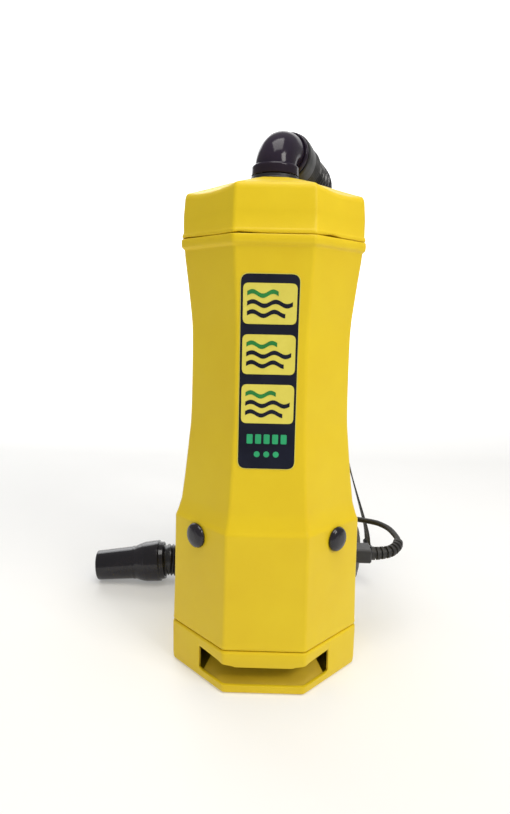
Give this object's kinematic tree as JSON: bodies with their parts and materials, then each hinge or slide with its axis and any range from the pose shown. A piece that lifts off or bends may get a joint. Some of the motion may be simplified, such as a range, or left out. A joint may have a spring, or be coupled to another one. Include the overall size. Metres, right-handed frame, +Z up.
{
  "type": "backpack vacuum cleaner",
  "caption": "Octagonal backpack vacuum cleaner standing on its exhaust base, with lift-off lid, swivel elbow, ribbed hose, switch lead and padded shoulder and waist harness.",
  "frame": {"origin": "centre of the base's flat underside, which stands on the floor", "axes": "+Z up, -Y is the pictured front with the label and the exhaust mouth, +Y is the wearer's side with the harness, +X is to the right when looking at the front"},
  "size_m": [0.414, 0.5633, 0.5931],
  "materials": {
    "yellow_abs": "satin",
    "navy_label": "satin",
    "smoke_plastic": "gloss",
    "black_plastic": "satin",
    "hose_plastic": "satin",
    "black_rubber": "matte",
    "zinc_steel": "satin",
    "copper_winding": "satin",
    "cast_alloy": "satin",
    "black_webbing": "matte",
    "pad_fabric": "matte",
    "filter_cloth": "matte",
    "bag_paper": "matte",
    "filter_media": "matte"
  },
  "bodies": {
    "root": {"back_pad": "pad_fabric", "base_cap": "yellow_abs", "belt_webbing_left": "black_webbing", "belt_webbing_right": "black_webbing", "body_shell": "yellow_abs", "buckle_socket": "black_plastic", "cloth_filter": "filter_cloth", "cord_gland": "black_plastic", "dust_bag": "bag_paper", "exhaust_deflector": "yellow_abs", "exhaust_filter": "filter_media", "fan_housing": "zinc_steel", "filter_ring": "black_plastic", "frame_screw_1": "zinc_steel", "frame_screw_2": "zinc_steel", "frame_screw_3": "zinc_steel", "frame_screw_4": "zinc_steel", "harness_frame": "black_plastic", "hose_end_cuff": "black_plastic", "hose_lower": "hose_plastic", "hose_upper": "hose_plastic", "label_panel": "navy_label", "latch_bracket_left": "black_plastic", "latch_bracket_right": "black_plastic", "latch_pin_left": "zinc_steel", "latch_pin_right": "zinc_steel", "lid_gasket": "black_rubber", "lumbar_pad": "pad_fabric", "mains_gland": "black_plastic", "motor_bearing": "zinc_steel", "motor_cradle": "black_plastic", "motor_frame": "cast_alloy", "motor_shelf": "black_plastic", "screw_cap_left": "black_plastic", "screw_cap_right": "black_plastic", "shoulder_strap_left": "pad_fabric", "shoulder_strap_right": "pad_fabric", "stator": "copper_winding", "strain_relief": "black_rubber", "strap_lock_left": "black_plastic", "strap_lock_right": "black_plastic", "strap_webbing_left": "black_webbing", "strap_webbing_right": "black_webbing", "switch_box": "black_plastic", "switch_lead": "black_rubber", "waist_belt_left": "pad_fabric", "waist_belt_right": "pad_fabric"},
    "lid": {"lid": "yellow_abs", "inlet_tube": "black_plastic", "swivel_ring": "black_plastic"},
    "elbow": {"elbow": "smoke_plastic", "swivel_nut": "smoke_plastic", "hose_cuff_top": "black_plastic"},
    "latch_left": {"latch_left": "black_plastic"},
    "latch_right": {"latch_right": "black_plastic"},
    "rotor": {"motor_shaft": "zinc_steel", "armature": "copper_winding", "fan_wheel": "cast_alloy"},
    "rocker": {"rocker_switch": "black_rubber"},
    "buckle": {"buckle_plug": "black_plastic"}
  },
  "joints": [
    {"name": "lid_lift", "type": "slide", "parent": "root", "child": "lid", "axis": [0, 0, 1], "range_m": [0, 0.05], "deforming": ["hose_upper", "hose_lower"]},
    {"name": "elbow_swivel", "type": "hinge", "parent": "lid", "child": "elbow", "pos_m": [0, 0, 0.5385], "axis": [0, 0, 1], "range_deg": [-45, 45], "deforming": ["hose_upper", "hose_lower"]},
    {"name": "latch_left_open", "type": "hinge", "parent": "root", "child": "latch_left", "pos_m": [-0.0693, 0.0693, 0.449], "axis": [-0.7071, -0.7071, 0], "range_deg": [0, 90]},
    {"name": "latch_right_open", "type": "hinge", "parent": "root", "child": "latch_right", "pos_m": [0.0693, 0.0693, 0.449], "axis": [-0.7071, 0.7071, 0], "range_deg": [0, 90]},
    {"name": "fan_spin", "type": "hinge", "parent": "root", "child": "rotor", "pos_m": [0, 0, 0.1], "axis": [0, 0, 1], "continuous": true},
    {"name": "power_rocker", "type": "hinge", "parent": "root", "child": "rocker", "pos_m": [0.11083, 0.26998, 0.078], "axis": [0.76, -0.65, 0], "range_deg": [0, 12]},
    {"name": "buckle_release", "type": "slide", "parent": "root", "child": "buckle", "axis": [1, 0, 0], "range_m": [0, 0.022], "deforming": ["belt_webbing_right"]}
  ]
}
